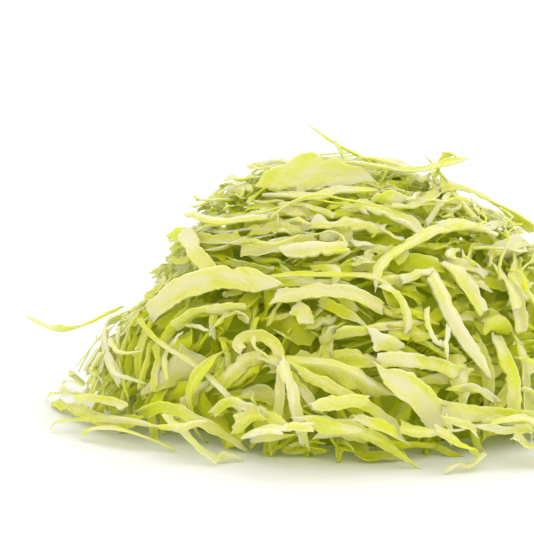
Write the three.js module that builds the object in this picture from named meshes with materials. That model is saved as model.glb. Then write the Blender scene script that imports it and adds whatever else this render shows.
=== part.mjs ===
// A loose heap of shredded lettuce, as it falls from the knife onto a table.
//
// Millimetres, +Z up, +Y away from the front. The origin is the centre of the heap's foot, on the table.
// The hundreds of shreds packed inside the heap are joined in one solid, packed_shreds.
// The loose shreds that lie on it are separate strips of leaf, each one laid over those under it.
import * as THREE from "three";

// ---- Driving dimensions ----

const packedRadius = 84; // the packed heap, under its loose shreds
const packedSegments = [44, 26]; // round the heap, and from crown to crown
const growthDepth = 60; // the heap's layers build outwards from a point this far below the table
const gap = 0.4; // between a shred and what it lies on
const packedGap = 0.5; // the same on the packed shreds, whose faces are coarse
const tableGap = 0.25; // how far a shred on the table stays above it
const shredStep = 5.5; // length of one straight stretch of a shred
const fineStep = 1.1; // spacing of the points where a shred feels for what is under it
const stiffness = 8; // passes that make a shred bridge hollows rather than follow them
const freeLift = 5; // an end that stands this far off the heap carries nothing
const tipWidth = 0.35; // a cut end's width, as a share of the shred's
const tipThickness = 0.6; // and its thickness

// Swellings and hollows of the packed heap: a direction from the origin, a height, and how sharply it ends.
const lobes = [
  { to: [-0.89, -0.4, 0.18], height: 18, focus: 18 }, // low lump on the left
  { to: [-0.78, -0.1, 0.6], height: -9, focus: 30 }, // waist above it
  { to: [-0.6, 0.0, 0.8], height: 6, focus: 12 },
  { to: [0.66, 0.0, 0.75], height: -3, focus: 10 },
  { to: [0.8, 0.1, 0.2], height: 4, focus: 5 },
  { to: [0.1, -0.95, 0.3], height: 2, focus: 8 },
  { to: [0.2, 0.9, 0.4], height: 4, focus: 5 },
];

// The sketch plane of the front shreds stands across the heap, leaning back, and faces the viewer.
const viewer = { distance: 820, tilt: 10.5, aim: [-32, 0, 49.5], height: 72 };

// Colours of the leaf, from its thick ribs to its outer green.
const tones = {
  rib: { color: 0xeef0d2, roughness: 0.34 },
  pale: { color: 0xdfe79a, roughness: 0.38 },
  leaf: { color: 0xb9cf4a, roughness: 0.42 },
  heart: { color: 0xe3dd78, roughness: 0.4 },
};

// ---- The front shreds: [right, up] on the sketch plane ----

const frontShreds = [
  { name: "big_leaf", tone: "heart", width: 13, thick: 0.9, route: [[-68, 34], [-58, 37], [-48, 39]] },
  { name: "lower_slab", tone: "pale", width: 7.5, thick: 1.4, route: [[-26, 36], [-12, 36], [0, 37], [8, 37]] },
  { name: "lower_ramp", tone: "pale", width: 7, thick: 1.4, route: [[-24, 32], [-9, 31], [2, 27], [12, 24]] },
  { name: "finger", tone: "pale", width: 4, thick: 2, route: [[-22, 27], [-18, 22], [-13.5, 18]] },
  { name: "edge_strip", tone: "pale", width: 3.8, thick: 1.4, route: [[-19, 28], [-10, 23], [0, 18], [10, 14], [16, 11]] },
  { name: "diagonal_bar", tone: "pale", width: 5.5, thick: 1.8, route: [[-48, 26], [-41, 33], [-33, 39]] },
  { name: "green_tongue", tone: "leaf", width: 5.5, thick: 1, route: [[25, 25], [31, 19], [37, 13]] },
  { name: "upright_strip", tone: "pale", width: 4.8, thick: 1.4, route: [[50, 46], [52, 35], [53, 25], [53, 12]] },
  { name: "tall_leaf", tone: "pale", width: 6, thick: 1, route: [[57, 76], [57, 62], [58, 46]] },
  { name: "right_band", tone: "pale", width: 5, thick: 1.2, route: [[48, 75], [56, 77], [64, 79]] },
  { name: "right_arc", tone: "heart", width: 7, thick: 1.2, route: [[30, 98], [40, 96], [50, 91], [58, 86], [63, 79]] },
  { name: "top_flat", tone: "rib", width: 6, thick: 1.6, route: [[0, 105.5], [10, 106], [20, 104.5]] },
  { name: "green_shoulder", tone: "leaf", width: 6, thick: 1, route: [[-68, 76], [-60, 80], [-50, 82], [-40, 82]] },
  { name: "pale_shoulder", tone: "pale", width: 5, thick: 1.2, route: [[-57, 87], [-50, 90], [-42, 92], [-33, 92.5]] },
  { name: "step_strip", tone: "rib", width: 6, thick: 1.6, route: [[-16, 86], [-5, 86], [3, 86], [10, 83.5]] },
  { name: "knob_strip", tone: "pale", width: 5, thick: 1.6, route: [[-41, 76], [-34, 76], [-26, 78], [-14, 79]] },
  { name: "upper_prong", tone: "rib", width: 6, thick: 1.8, route: [[-58, 77], [-54, 71], [-50, 66]] },
  { name: "long_green", tone: "leaf", width: 3, thick: 1, route: [[-34, 63], [-20, 65], [-10, 64.5], [-2, 63]] },
  { name: "hook_strip", tone: "pale", width: 3.4, thick: 1.2, route: [[-16, 70], [-10, 70], [-6.5, 67], [-6, 62]] },
  { name: "upright_block", tone: "rib", width: 6, thick: 2, route: [[-21, 57], [-19, 53], [-18, 49]] },
  { name: "square_block", tone: "rib", width: 7, thick: 2.2, route: [[6, 42], [11, 41], [16, 40]] },
  { name: "plank", tone: "rib", width: 5, thick: 1.8, route: [[8, 33], [20, 33], [32, 33], [40, 31]] },
  { name: "big_diagonal", tone: "rib", width: 9, thick: 1.6, route: [[8, 27], [16, 22], [24, 16], [30, 10]] },
  {
    name: "crumpled_strip",
    tone: "pale",
    width: 5,
    thick: 1.4,
    route: [[28, 13], [36, 12], [45, 12.5], [52, 10], [58, 7]],
  },
  {
    name: "central_band",
    tone: "rib",
    width: 6,
    thick: 1.6,
    route: [[-28, 59.5], [-20, 61], [-10, 61.5], [0, 60], [10, 58]],
  },
  {
    name: "wide_band",
    tone: "rib",
    width: 8.5,
    thick: 1.6,
    route: [[-74, 54], [-66, 57], [-56, 61], [-47, 63.5], [-38, 62.5], [-29, 60]],
  },
  {
    name: "diagonal_thread",
    tone: "pale",
    width: 1.8,
    thick: 1,
    route: [[-76, 52], [-70, 45], [-62, 37], [-55, 31], [-47, 24], [-40, 17]],
  },
  { name: "green_blade", tone: "leaf", width: 3.6, thick: 0.9, route: [[-46, 41], [-48, 34], [-52, 24], [-56, 14]] },
  {
    name: "curl_strand",
    tone: "pale",
    width: 3.6,
    thick: 1.2,
    route: [[-39, 37], [-42, 41], [-39, 45], [-33, 45], [-28, 40], [-25.5, 32], [-24.5, 24], [-25, 16], [-29, 9]],
  },
  { name: "club_strand", tone: "rib", width: 3.6, thick: 1.4, route: [[-24, 31], [-21, 22], [-19, 14], [-18, 5]] },
  { name: "white_stick", tone: "rib", width: 5.5, thick: 2.4, route: [[-26, 73], [-15, 74], [-3, 75.5]] },
  { name: "pale_slab", tone: "pale", width: 8, thick: 1.4, route: [[-1, 93], [8, 91], [16, 87], [23, 82]] },
  {
    name: "wave_strip",
    tone: "rib",
    width: 4.5,
    thick: 1.6,
    route: [[-31, 97], [-22, 96], [-14, 95.5], [-7, 98.5], [0, 98], [8, 98]],
  },
  { name: "long_white", tone: "rib", width: 2.6, thick: 1.4, route: [[-60, 85], [-50, 86.5], [-40, 89], [-31, 90]] },
  { name: "rib_end", tone: "rib", width: 5.5, thick: 2, route: [[29, 83], [37, 83.5], [43, 81.5], [49, 78]] },
  { name: "long_arm", tone: "rib", width: 3.5, thick: 1.4, route: [[31, 81], [22, 77.5], [14, 74], [9, 70], [7, 63]] },
  {
    name: "long_diagonal",
    tone: "rib",
    width: 5.4,
    thick: 2,
    route: [[27, 69], [30, 60], [34, 50], [38, 43], [43, 36], [47, 29]],
  },
  { name: "fork_strip", tone: "rib", width: 5, thick: 1.8, route: [[32, 73], [37, 66], [41, 58], [45, 52]] },
  {
    name: "low_strap",
    tone: "leaf",
    width: 4.5,
    thick: 1.2,
    route: [[-77, 18], [-66, 17], [-56, 13], [-48, 9], [-42, 5]],
  },
  { name: "table_leaf", tone: "leaf", width: 5, thick: 1, route: [[-107, 22], [-97, 17.5], [-86, 14.5], [-72, 13]] },
  { name: "table_strip", tone: "pale", width: 4.5, thick: 1.2, route: [[-18, 8], [-5, 7], [8, 4], [22, -1]] },
];

// ---- The shreds that stand clear of the heap: [right, back, up] from the origin ----

const standingShreds = [
  {
    name: "rolled_leaf",
    tone: "pale",
    width: 13,
    thick: 1.2,
    route: [[-31, -19, 75.5], [-27, -19, 84.5], [-18, -18, 89], [-9, -18, 87], [-3, -18, 81.5]],
  },
  {
    name: "sweeping_strip",
    tone: "pale",
    width: 3.2,
    thick: 1,
    route: [[-8, -12, 85.5], [4, -16, 83.5], [14, -17, 82.5], [24, -14, 84.5], [32, -11, 87.5], [40, -8, 90.5]],
  },
  {
    name: "upright_sliver",
    tone: "pale",
    width: 2.4,
    thick: 1,
    route: [[6, 3, 83.5], [-3, 6, 87.5], [-10, 8, 92.5], [-17, 9, 100.5]],
  },
  {
    name: "stray_strand",
    tone: "leaf",
    width: 2.4,
    thick: 1,
    route: [[-84, 1, 33.5], [-90, -1, 28.5], [-98, -2, 25.5], [-106, -2, 25], [-113, -2, 27.5], [-120, -3, 31.5]],
  },
];

// ---- The shreds round the back and the right side, worked out by a loop ----

const backShreds = {
  count: 14,
  firstAzimuth: -38, // degrees from +X, so the row runs from the right side round the back to the left
  azimuthStep: 17.5,
  lowest: 14, // elevation above the table, in degrees
  highest: 72,
  spread: 0.618, // share of that range from one shred to the next, so that neighbours stand apart
  halfTurn: 24, // how far each end lies from the middle, in degrees round the heap
  rise: [16, -12, 4], // how much one end lies above the other, in turn
  width: [5, 3.4, 6.5, 4.2],
  thick: [1.4, 1.1, 1.8],
  tone: ["pale", "rib", "leaf", "rib", "heart"],
};

// ---- The packed heap's surface ----

const deg = Math.PI / 180;
const growthCentre = new THREE.Vector3(0, 0, -growthDepth);

for (const lobe of lobes) lobe.axis = new THREE.Vector3(...lobe.to).normalize();

// Distance from the origin to the packed heap's surface, along a unit direction.
function packedReach(direction) {
  let reach = packedRadius;
  for (const lobe of lobes) {
    reach += lobe.height * Math.exp(lobe.focus * (direction.dot(lobe.axis) - 1));
  }
  return reach;
}

// How far out a point is, as a share of the way from the origin to the packed surface.
function packedShare(point) {
  const distance = point.length();
  return distance / packedReach(point.clone().divideScalar(distance));
}

function insidePacked(point) {
  return point.z >= 0 && packedShare(point) < 1;
}

// A sphere pushed out to the packed surface, with its lower half pressed flat onto the table.
function packedGeometry() {
  const geometry = new THREE.SphereGeometry(1, ...packedSegments);
  geometry.rotateX(Math.PI / 2);
  const at = geometry.getAttribute("position");
  const point = new THREE.Vector3();
  for (let i = 0; i < at.count; i++) {
    point.fromBufferAttribute(at, i).normalize();
    if (point.z < 1e-6) {
      const flat = new THREE.Vector3(point.x, point.y, 0);
      const share = flat.length();
      const rim = share > 1e-6 ? packedReach(flat.clone().divideScalar(share)) : 0;
      point.copy(flat).multiplyScalar(rim);
    } else {
      point.multiplyScalar(packedReach(point));
    }
    at.setXYZ(i, point.x, point.y, point.z);
  }
  return geometry;
}

// ---- How high the heap has grown, in every direction from the growth centre ----

// An equal-area map of the directions, as a square grid of distances.
class GrowthMap {
  constructor(cells = 340, halfSide = 1.22) {
    this.cells = cells;
    this.halfSide = halfSide;
    this.distance = new Float64Array(cells * cells);
    for (let row = 0; row < cells; row++) {
      for (let column = 0; column < cells; column++) {
        this.distance[row * cells + column] = this.bareDistance(this.direction(column + 0.5, row + 0.5));
      }
    }
  }

  direction(column, row) {
    const u = (column / this.cells) * 2 * this.halfSide - this.halfSide;
    const v = (row / this.cells) * 2 * this.halfSide - this.halfSide;
    const square = Math.min(u * u + v * v, 1.9);
    const scale = Math.sqrt(1 - square / 4);
    return new THREE.Vector3(u * scale, v * scale, 1 - square / 2).normalize();
  }

  cell(direction) {
    const scale = Math.sqrt(2 / (1 + direction.z));
    const column = ((direction.x * scale + this.halfSide) / (2 * this.halfSide)) * this.cells;
    const row = ((direction.y * scale + this.halfSide) / (2 * this.halfSide)) * this.cells;
    return [column, row];
  }

  // The table, or the packed heap where it stands on the table.
  bareDistance(direction) {
    const table = (growthDepth + tableGap - gap) / direction.z;
    const point = growthCentre.clone().addScaledVector(direction, growthDepth / direction.z);
    if (!insidePacked(point.setZ(1e-3))) return table;
    let inside = growthDepth / direction.z;
    let outside = 2.5 * packedRadius;
    for (let i = 0; i < 22; i++) {
      const middle = (inside + outside) / 2;
      point.copy(growthCentre).addScaledVector(direction, middle);
      if (insidePacked(point)) inside = middle;
      else outside = middle;
    }
    return inside + packedGap - gap;
  }

  // The highest of the four cells round a direction.
  at(direction) {
    const [column, row] = this.cell(direction);
    let highest = 0;
    for (const i of [Math.floor(column - 0.5), Math.floor(column + 0.5)]) {
      for (const j of [Math.floor(row - 0.5), Math.floor(row + 0.5)]) {
        highest = Math.max(highest, this.distance[j * this.cells + i]);
      }
    }
    return highest;
  }

  raise(point) {
    const ray = point.clone().sub(growthCentre);
    const distance = ray.length();
    const [column, row] = this.cell(ray.divideScalar(distance));
    for (const i of [Math.floor(column - 0.5), Math.floor(column + 0.5)]) {
      for (const j of [Math.floor(row - 0.5), Math.floor(row + 0.5)]) {
        const index = j * this.cells + i;
        this.distance[index] = Math.max(this.distance[index], distance);
      }
    }
  }
}

const bare = new GrowthMap();
const grown = new GrowthMap();

// The bare heap or table under a direction, and the way its surface faces.
function bareSurface(direction) {
  const point = growthCentre.clone().addScaledVector(direction, bare.at(direction));
  const side = new THREE.Vector3(1, 0, 0).cross(direction).normalize();
  const reach = 0.04;
  const steps = [side, side.clone().cross(direction)].map((way) => {
    const ends = [-reach, reach].map((turn) => {
      const turned = direction.clone().addScaledVector(way, turn).normalize();
      return turned.multiplyScalar(bare.at(turned));
    });
    return ends[1].sub(ends[0]);
  });
  const facing = steps[0].cross(steps[1]).normalize();
  if (facing.dot(direction) < 0) facing.negate();
  return { point, facing };
}

// ---- From a sketched point to a direction of growth ----

const sketchRight = new THREE.Vector3(1, 0, 0);
const sketchUp = new THREE.Vector3(0, Math.sin(viewer.tilt * deg), Math.cos(viewer.tilt * deg));
const sketchBack = new THREE.Vector3(0, Math.cos(viewer.tilt * deg), -Math.sin(viewer.tilt * deg));
const aim = new THREE.Vector3(...viewer.aim);
const eye = aim.clone().addScaledVector(sketchBack, -viewer.distance);

// Follows the line of sight through a point of the sketch plane until it meets the heap or the table.
// A sight that passes over the heap stops where it comes nearest.
function fromFront([right, up]) {
  const through = aim.clone();
  through.addScaledVector(sketchRight, right - viewer.aim[0]);
  through.addScaledVector(sketchUp, up - viewer.height);
  const sight = through.sub(eye).normalize();
  const nearest = new THREE.Vector3();
  const point = new THREE.Vector3();
  let least = Infinity;
  for (let reach = 0.8 * viewer.distance; reach < 1.2 * viewer.distance && least > 1; reach += 0.5) {
    point.copy(eye).addScaledVector(sight, reach);
    const share = packedShare(point);
    if (share < least) nearest.copy(point);
    least = Math.min(least, point.z < 0 ? 0 : share);
  }
  return nearest.sub(growthCentre).normalize();
}

// A point that is given in space.
function fromSpace([right, back, up]) {
  return new THREE.Vector3(right, back, up).sub(growthCentre).normalize();
}

// Out from the origin at an azimuth and an elevation, in degrees.
function fromOrigin([azimuth, elevation]) {
  const level = Math.cos(elevation * deg);
  const out = new THREE.Vector3(
    level * Math.cos(azimuth * deg),
    level * Math.sin(azimuth * deg),
    Math.sin(elevation * deg),
  );
  return out.multiplyScalar(packedReach(out)).sub(growthCentre).normalize();
}

// ---- Laying a shred ----

// Evenly spaced points of the shred's route, on the bare heap or at its own place in space.
function routePoints({ route }, toDirection) {
  const knots = route.map((sketched) => {
    if (toDirection === fromSpace) return new THREE.Vector3(...sketched);
    return bareSurface(toDirection(sketched)).point;
  });
  const curve = new THREE.CatmullRomCurve3(knots, false, "catmullrom", 0.5);
  const samples = 400;
  const walked = [0];
  for (let i = 1; i <= samples; i++) {
    walked.push(walked[i - 1] + curve.getPoint(i / samples).distanceTo(curve.getPoint((i - 1) / samples)));
  }
  const length = walked[samples];
  const stretches = Math.max(3, Math.round(length / shredStep));
  const perStretch = Math.round(shredStep / fineStep);
  const count = stretches * perStretch;
  const points = [];
  let i = 0;
  for (let k = 0; k <= count; k++) {
    const wanted = (k / count) * length;
    while (i < samples - 1 && walked[i + 1] < wanted) i++;
    const share = (wanted - walked[i]) / Math.max(walked[i + 1] - walked[i], 1e-9);
    const t = Math.min((i + share) / samples, 1);
    points.push(curve.getPoint(t));
  }
  return { points, stretches, perStretch };
}

// Full along the middle and narrowed at the two cut ends.
function taper(share, tip) {
  const end = Math.min(share, 1 - share) / 0.16;
  return end >= 1 ? 1 : tip + (1 - tip) * Math.sin((end * Math.PI) / 2);
}

// The frames of a shred: its middle, its side and its outward facing at every fine point.
function framesOf(shred, points) {
  const last = points.length - 1;
  const frames = points.map((at, k) => {
    const out = at.clone().sub(growthCentre).normalize();
    const along = points[Math.min(k + 1, last)].clone().sub(points[Math.max(k - 1, 0)]).normalize();
    const share = k / last;
    return {
      out,
      along,
      stand: at.distanceTo(growthCentre),
      facing: bareSurface(out).facing,
      half: (shred.width / 2) * taper(share, tipWidth),
      halfThick: (shred.thick / 2) * taper(share, tipThickness),
    };
  });
  // The facing turns slowly along the shred, as a springy strip's does.
  for (let pass = 0; pass < 12; pass++) {
    const before = frames.map((f) => f.facing.clone());
    frames.forEach((f, k) => {
      f.facing.add(before[Math.max(k - 1, 0)]).add(before[Math.min(k + 1, last)]).normalize();
    });
  }
  for (const f of frames) {
    f.facing.addScaledVector(f.along, -f.facing.dot(f.along)).normalize();
    f.side = f.along.clone().cross(f.facing);
  }
  return frames;
}

const acrossSteps = [-1, -0.6, -0.2, 0.2, 0.6, 1];

// The least distance from the growth centre at which the shred clears everything under this point.
function restingDistance(frame) {
  let distance = 0;
  const point = new THREE.Vector3();
  for (let pass = 0; pass < 3; pass++) {
    let lack = pass ? 0 : -Infinity;
    for (const across of acrossSteps) {
      point.copy(growthCentre).addScaledVector(frame.out, distance || bare.at(frame.out));
      point.addScaledVector(frame.side, across * (frame.half + 0.5));
      point.addScaledVector(frame.facing, -frame.halfThick);
      const ray = point.sub(growthCentre);
      const reach = ray.length();
      lack = Math.max(lack, grown.at(ray.divideScalar(reach)) + gap - reach);
    }
    distance = (distance || bare.at(frame.out)) + lack;
  }
  return distance;
}

function layShred(shred, toDirection) {
  const { points, stretches, perStretch } = routePoints(shred, toDirection);
  const frames = framesOf(shred, points);
  const resting = frames.map(restingDistance);
  const rings = [];
  for (let i = 0; i <= stretches; i++) {
    const from = Math.max(0, (i - 1) * perStretch);
    const to = Math.min(frames.length - 1, (i + 1) * perStretch);
    const frame = frames[i * perStretch];
    rings.push({ frame, distance: Math.max(frame.stand, ...resting.slice(from, to + 1)) });
  }
  for (let pass = 0; pass < stiffness; pass++) {
    const before = rings.map((ring) => ring.distance);
    for (let i = 1; i < stretches; i++) {
      rings[i].distance = Math.max(before[i], (before[i - 1] + before[i + 1]) / 2);
    }
  }
  const distances = frames.map((_, k) => {
    const ring = Math.min(Math.floor(k / perStretch), stretches - 1);
    const share = k / perStretch - ring;
    return rings[ring].distance * (1 - share) + rings[ring + 1].distance * share;
  });
  // Let it down until it touches.
  const slack = Math.min(...distances.map((distance, k) => distance - resting[k]));
  for (const ring of rings) ring.distance -= slack;
  raiseMap(frames, distances.map((distance) => distance - slack));
  return stripGeometry(rings);
}

// Records the shred's outer face, so that later shreds lie on it.
function raiseMap(frames, distances) {
  const point = new THREE.Vector3();
  frames.forEach((frame, k) => {
    if (frame.stand > bare.at(frame.out) + freeLift) return;
    const distance = distances[k];
    const steps = Math.ceil((2 * frame.half + 1.2) / 0.7);
    for (let j = 0; j <= steps; j++) {
      const across = (j / steps - 0.5) * (2 * frame.half + 1.2);
      point.copy(growthCentre).addScaledVector(frame.out, distance);
      point.addScaledVector(frame.side, across).addScaledVector(frame.facing, frame.halfThick);
      grown.raise(point);
    }
  });
}

// A box bent along the rings: its length runs from ring to ring, its width across and its height outwards.
function stripGeometry(rings) {
  const geometry = new THREE.BoxGeometry(1, 1, 1, rings.length - 1, 1, 1);
  const at = geometry.getAttribute("position");
  const point = new THREE.Vector3();
  for (let i = 0; i < at.count; i++) {
    const ring = rings[Math.round((at.getX(i) + 0.5) * (rings.length - 1))];
    const { out, side, facing, half, halfThick } = ring.frame;
    point.copy(growthCentre).addScaledVector(out, ring.distance);
    point.addScaledVector(side, -2 * at.getY(i) * half).addScaledVector(facing, 2 * at.getZ(i) * halfThick);
    at.setXYZ(i, point.x, point.y, point.z);
  }
  return geometry;
}

// ---- The heap ----

function named(name, geometry, tone) {
  const mesh = new THREE.Mesh(geometry, new THREE.MeshStandardMaterial({ metalness: 0, ...tones[tone] }));
  mesh.name = name;
  return mesh;
}

function backShred(i) {
  const { lowest, highest, halfTurn, rise, width, thick, tone } = backShreds;
  const azimuth = backShreds.firstAzimuth + i * backShreds.azimuthStep;
  const middle = lowest + (highest - lowest) * ((i * backShreds.spread) % 1);
  const turn = halfTurn / Math.cos(Math.min(middle, 60) * deg);
  const tilt = rise[i % rise.length] / 2;
  return {
    name: `back_shred_${String(i + 1).padStart(2, "0")}`,
    tone: tone[i % tone.length],
    width: width[i % width.length],
    thick: thick[i % thick.length],
    route: [
      [azimuth - turn, Math.max(4, middle - tilt)],
      [azimuth - turn / 3, middle + 3],
      [azimuth + turn / 3, middle + 2],
      [azimuth + turn, Math.max(4, middle + tilt)],
    ],
  };
}

const heap = new THREE.Group();
heap.add(named("packed_shreds", packedGeometry(), "pale"));
for (let i = 0; i < backShreds.count; i++) {
  const shred = backShred(i);
  heap.add(named(shred.name, layShred(shred, fromOrigin), shred.tone));
}
for (const shred of frontShreds) heap.add(named(shred.name, layShred(shred, fromFront), shred.tone));
for (const shred of standingShreds) heap.add(named(shred.name, layShred(shred, fromSpace), shred.tone));

export default heap;
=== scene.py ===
# A loose heap of shredded lettuce. Lengths in the tables are in millimetres; meshes are made in metres.
import math

import bpy
import numpy as np
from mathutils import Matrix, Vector


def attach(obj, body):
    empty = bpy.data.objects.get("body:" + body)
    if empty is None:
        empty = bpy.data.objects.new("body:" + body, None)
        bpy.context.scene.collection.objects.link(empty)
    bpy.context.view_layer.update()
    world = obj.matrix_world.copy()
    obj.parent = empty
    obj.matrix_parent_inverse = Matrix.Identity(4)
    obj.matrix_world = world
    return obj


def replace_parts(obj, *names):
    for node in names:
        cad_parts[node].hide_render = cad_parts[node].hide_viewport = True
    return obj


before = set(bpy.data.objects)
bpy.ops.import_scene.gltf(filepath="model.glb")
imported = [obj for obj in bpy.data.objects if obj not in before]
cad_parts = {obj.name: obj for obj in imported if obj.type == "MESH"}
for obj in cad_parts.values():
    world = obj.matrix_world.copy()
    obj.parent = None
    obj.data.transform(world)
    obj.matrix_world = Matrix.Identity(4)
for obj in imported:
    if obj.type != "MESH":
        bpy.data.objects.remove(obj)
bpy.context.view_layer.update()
scene = bpy.context.scene
metre = 0.001  # a millimetre, in metres
print("frame loaded", len(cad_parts), "nodes")


def deselectAll():
    if bpy.context.object and bpy.context.object.mode != "OBJECT":
        bpy.ops.object.mode_set(mode="OBJECT")
    bpy.ops.object.select_all(action="DESELECT")


# Camera, light and floor.

cameraLook = {"aim": (-32, 0, 49.5), "distance": 820, "tilt": 10.5, "frameWidth": 194.2, "sensor": 36}


def makeCamera(look):
    tilt = math.radians(look["tilt"])
    back = Vector((0, math.cos(tilt), -math.sin(tilt)))
    aim = Vector(look["aim"])
    data = bpy.data.cameras.new("heapCamera")
    data.sensor_width = look["sensor"]
    data.lens = look["sensor"] * look["distance"] / look["frameWidth"]
    data.clip_start, data.clip_end = 0.02, 20
    camera = bpy.data.objects.new("heapCamera", data)
    camera.location = (aim - back * look["distance"]) * metre
    camera.rotation_euler = (math.pi / 2 - tilt, 0, 0)
    scene.collection.objects.link(camera)
    scene.camera = camera
    return aim, back


aimPoint, backWay = makeCamera(cameraLook)
scene.view_settings.view_transform = "Standard"
scene.view_settings.look = "None"
scene.cycles.max_bounces = 16
scene.cycles.diffuse_bounces = 10  # light passes through many thin leaves

lightLook = [
    # name, place, size, watts, colour
    ("skyPanel", (0.35, 0.25, 1.2), 0.9, 2.2, (1.0, 1.0, 0.98)),
    ("keyPanel", (0.5, -0.75, 0.95), 0.6, 0.7, (1.0, 0.99, 0.96)),
]

skyLook = {"horizon": 1.0, "overhead": 1.16}  # how bright the studio is all round, and from above
floorLook = {"size": 12, "colour": (0.94, 0.94, 0.925, 1), "rough": 0.6, "shine": 0.2}


def makeLights():
    for name, place, size, watts, colour in lightLook:
        data = bpy.data.lights.new(name, "AREA")
        data.shape = "SQUARE"
        data.size = size
        data.energy = watts
        data.color = colour
        light = bpy.data.objects.new(name, data)
        light.location = place
        light.rotation_euler = (Vector((0, 0, 0.04)) - light.location).to_track_quat("-Z", "Y").to_euler()
        scene.collection.objects.link(light)
    world = bpy.data.worlds.new("studio")
    scene.world = world
    world.use_nodes = True
    tree = world.node_tree
    background = tree.nodes["Background"]
    background.inputs["Color"].default_value = (1, 1, 1, 1)
    place = tree.nodes.new("ShaderNodeTexCoord")
    split = tree.nodes.new("ShaderNodeSeparateXYZ")
    tree.links.new(place.outputs["Generated"], split.inputs["Vector"])
    brighten = tree.nodes.new("ShaderNodeMath")
    brighten.operation = "MULTIPLY_ADD"
    brighten.inputs[1].default_value = skyLook["overhead"] - skyLook["horizon"]
    brighten.inputs[2].default_value = skyLook["horizon"]
    tree.links.new(split.outputs["Z"], brighten.inputs[0])
    tree.links.new(brighten.outputs[0], background.inputs["Strength"])


def makeFloor():
    deselectAll()
    bpy.ops.mesh.primitive_grid_add(x_subdivisions=4, y_subdivisions=4, size=floorLook["size"])
    floor = bpy.context.object
    floor.name = "floor"
    material = bpy.data.materials.new("paleFloor")
    material.use_nodes = True
    shader = material.node_tree.nodes["Principled BSDF"]
    shader.inputs["Base Color"].default_value = floorLook["colour"]
    shader.inputs["Roughness"].default_value = floorLook["rough"]
    shader.inputs["Specular IOR Level"].default_value = floorLook["shine"]
    floor.data.materials.append(material)


makeLights()
makeFloor()
print("camera, light and floor placed")

# The heap's own shape, and how its layers grow outwards.

heap = {
    "radius": 84.0,
    "growthDepth": 60.0,  # layers build outwards from a point this far under the table
    "gap": 0.4,  # between a shred and what it lies on
    "packedGap": 0.5,
    "tableGap": 0.25,
    "deepest": 90.0,  # how far back a small shred may reach
    "lobes": [
        # direction, height, sharpness
        ((-0.89, -0.4, 0.18), 18, 18),
        ((-0.78, -0.1, 0.6), -9, 30),
        ((-0.6, 0.0, 0.8), 6, 12),
        ((0.66, 0.0, 0.75), -3, 10),
        ((0.8, 0.1, 0.2), 4, 5),
        ((0.1, -0.95, 0.3), 2, 8),
        ((0.2, 0.9, 0.4), 4, 5),
    ],
}
centre = np.array((0.0, 0.0, -heap["growthDepth"]))


def unit(v):
    return v / np.maximum(np.linalg.norm(v, axis=-1, keepdims=True), 1e-12)


def dot(a, b):
    return (a * b).sum(-1)


def packedReach(direction):
    reach = np.full(direction.shape[:-1], heap["radius"])
    for way, height, sharpness in heap["lobes"]:
        reach = reach + height * np.exp(sharpness * (dot(direction, unit(np.array(way))) - 1))
    return reach


def packedShare(point, scale=1.0):
    distance = np.linalg.norm(point, axis=-1)
    return distance / (scale * packedReach(point / np.maximum(distance, 1e-9)[..., None]))


# A square map of every outward direction, holding how far the heap has grown along each.
class GrowthMap:
    cells = 340
    halfSide = 1.22

    def __init__(self, scale=1.0):
        rows, columns = np.mgrid[0 : self.cells, 0 : self.cells] + 0.5
        u = columns / self.cells * 2 * self.halfSide - self.halfSide
        v = rows / self.cells * 2 * self.halfSide - self.halfSide
        square = np.minimum(u * u + v * v, 1.9)
        stretch = np.sqrt(1 - square / 4)
        ways = unit(np.stack((u * stretch, v * stretch, 1 - square / 2), -1))
        toTable = heap["growthDepth"] / ways[..., 2]
        foot = centre + ways * toTable[..., None]
        foot[..., 2] = 1e-3
        onHeap = packedShare(foot, scale) < 1
        inside, outside = toTable.copy(), np.full(toTable.shape, 2.5 * heap["radius"])
        for _ in range(22):
            middle = (inside + outside) / 2
            point = centre + ways * middle[..., None]
            within = (packedShare(point, scale) < 1) & (point[..., 2] >= 0)
            inside = np.where(within, middle, inside)
            outside = np.where(within, outside, middle)
        table = (heap["growthDepth"] + heap["tableGap"] - heap["gap"]) / ways[..., 2]
        grown = inside + heap["packedGap"] - heap["gap"]
        self.distance = np.where(onHeap, grown, table).ravel()

    def cell(self, way):
        stretch = np.sqrt(2 / (1 + way[..., 2]))
        column = (way[..., 0] * stretch + self.halfSide) / (2 * self.halfSide) * self.cells
        row = (way[..., 1] * stretch + self.halfSide) / (2 * self.halfSide) * self.cells
        i = np.clip(np.floor(column - 0.5).astype(int), 0, self.cells - 2)
        j = np.clip(np.floor(row - 0.5).astype(int), 0, self.cells - 2)
        return j * self.cells + i

    def at(self, way):
        k = self.cell(way)
        rows = [np.maximum(self.distance[k + row], self.distance[k + row + 1]) for row in (0, self.cells)]
        return np.maximum(rows[0], rows[1])

    def raiseTo(self, points):
        ray = points - centre
        reach = np.linalg.norm(ray, axis=-1)
        k = self.cell(ray / reach[..., None])
        for step in (0, 1, self.cells, self.cells + 1):
            np.maximum.at(self.distance, k + step, reach)


bare = GrowthMap()


def bareSurface(way):
    point = centre + way * bare.at(way)[..., None]
    side = unit(np.cross(np.array((1.0, 0, 0)), way))
    steps = []
    for turnWay in (side, np.cross(side, way)):
        ends = []
        for turn in (-0.04, 0.04):
            turned = unit(way + turnWay * turn)
            ends.append(turned * bare.at(turned)[..., None])
        steps.append(ends[1] - ends[0])
    facing = unit(np.cross(steps[0], steps[1]))
    return point, np.where(dot(facing, way)[..., None] < 0, -facing, facing)


sketch = {"height": 72, "farthest": 40}  # where the drawn plane stands, and how far back a sight line may land


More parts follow.
